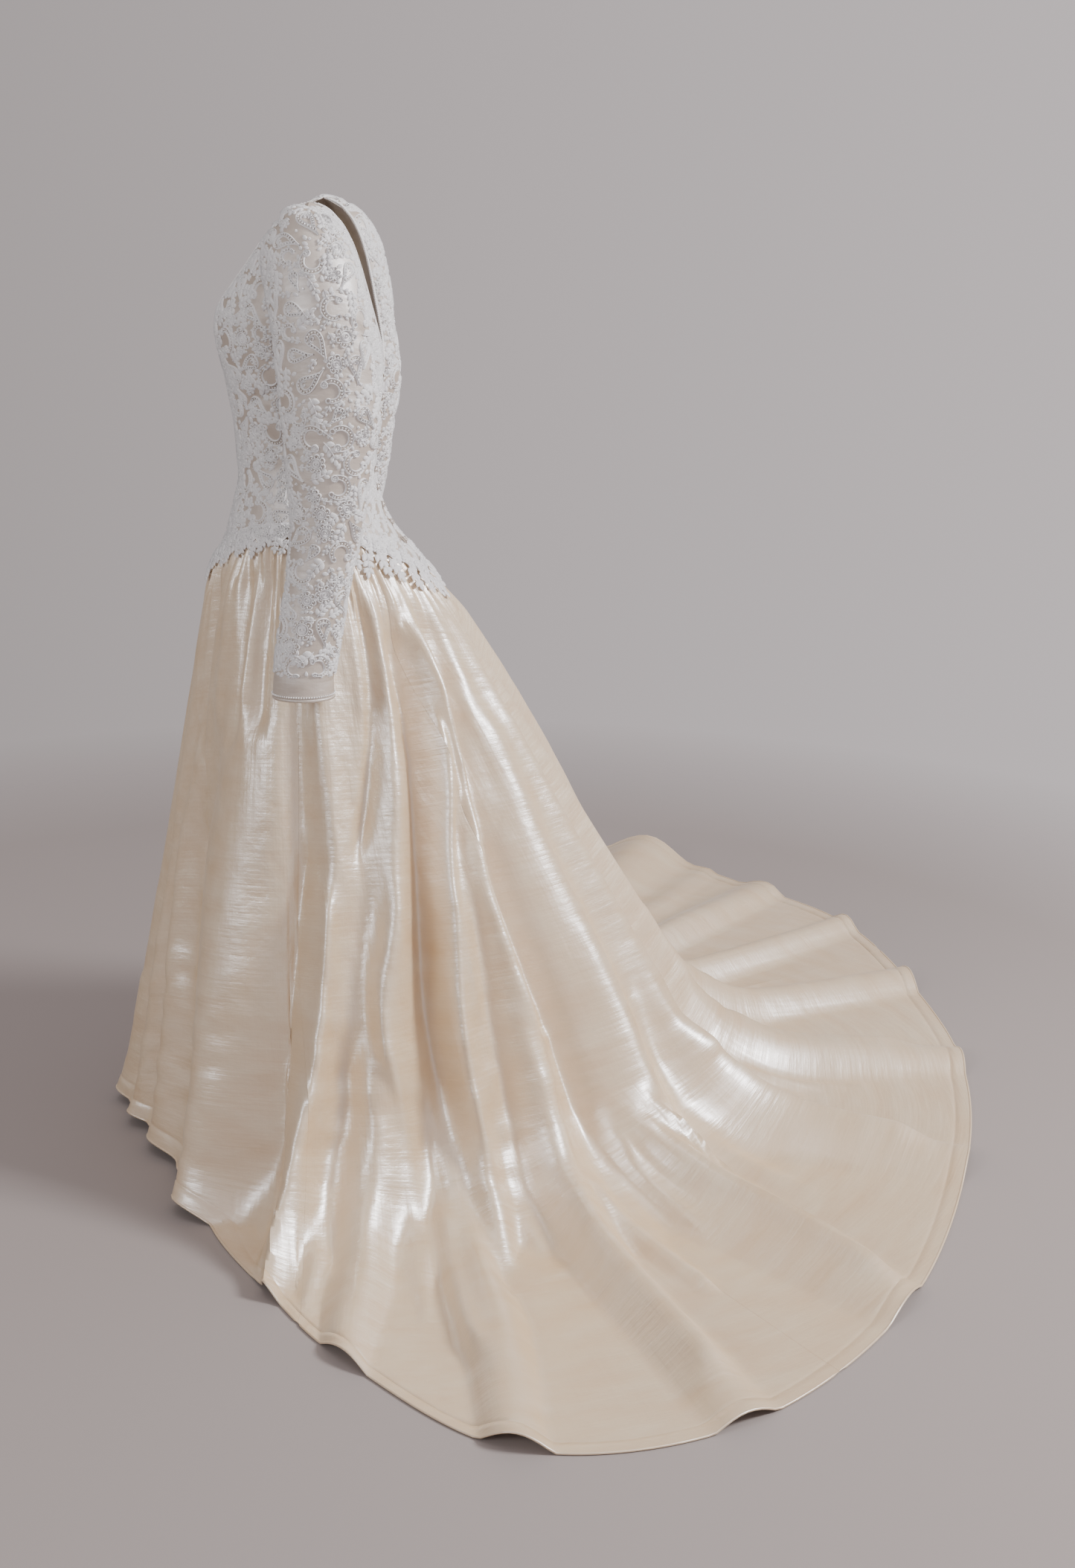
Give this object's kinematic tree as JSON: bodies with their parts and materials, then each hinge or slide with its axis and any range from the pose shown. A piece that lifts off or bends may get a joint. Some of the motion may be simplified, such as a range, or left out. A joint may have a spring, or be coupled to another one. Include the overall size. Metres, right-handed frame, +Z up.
{
  "type": "wedding dress",
  "caption": "Long-sleeved satin wedding dress with a lace-covered bodice, pointed basque waist and gathered skirt, worn shape, its train spread on the floor.",
  "frame": {"origin": "on the centre line, level with the top of the shoulders, where the wearer holds the dress up", "axes": "the front faces -Y, the wearer's left is +X, +Z up; the floor under the train is at z = -1.44"},
  "size_m": [2.2658, 1.4222, 1.4347],
  "materials": {
    "satin": "cream satin with a fine slub, soft sheen",
    "lace_over_satin": "white corded and beaded lace over cream satin",
    "cuff_satin": "plain cream satin band",
    "piping": "rolled satin binding",
    "covered_button": "satin-covered button"
  },
  "bodies": {
    "root": {"bodice_front": "lace_over_satin", "bodice_back_left": "lace_over_satin", "bodice_back_right": "lace_over_satin", "sleeve_top_left": "lace_over_satin", "sleeve_top_right": "lace_over_satin", "sleeve_under_left": "lace_over_satin", "sleeve_under_right": "lace_over_satin", "cuff_band_left": "cuff_satin", "cuff_band_right": "cuff_satin", "cuff_binding_left": "piping", "cuff_binding_right": "piping", "neck_trim_front": "lace_over_satin", "neck_trim_back_left": "lace_over_satin", "neck_trim_back_right": "lace_over_satin", "basque_lace": "lace_over_satin", "skirt_front": "satin", "skirt_left": "satin", "train_back": "satin", "skirt_right": "satin", "button_01": "covered_button", "button_02": "covered_button", "button_03": "covered_button", "button_04": "covered_button", "button_05": "covered_button", "button_06": "covered_button", "button_07": "covered_button", "button_08": "covered_button", "button_09": "covered_button", "button_10": "covered_button"}
  },
  "joints": []
}
